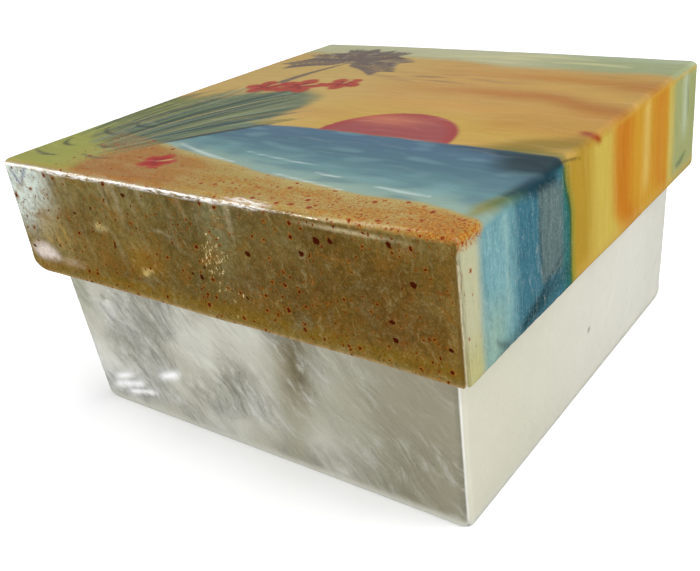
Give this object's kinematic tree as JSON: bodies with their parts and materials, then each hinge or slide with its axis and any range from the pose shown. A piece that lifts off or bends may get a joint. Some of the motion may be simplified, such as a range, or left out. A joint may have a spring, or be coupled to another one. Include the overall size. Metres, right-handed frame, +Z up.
{
  "type": "shell box",
  "caption": "Square keepsake box of laminated capiz shell with a deep lift-off lid, pearly base and a painted, lacquered lid.",
  "frame": {"origin": "centre of the box's underside, on the surface that it stands on", "axes": "+Z up, -Y towards the front face, +X towards the right face"},
  "size_m": [0.1016, 0.1016, 0.0559],
  "materials": {
    "base_shell": "gloss",
    "lid_shell": "gloss"
  },
  "bodies": {
    "root": {"base": "base_shell", "lid": "lid_shell"}
  },
  "joints": []
}
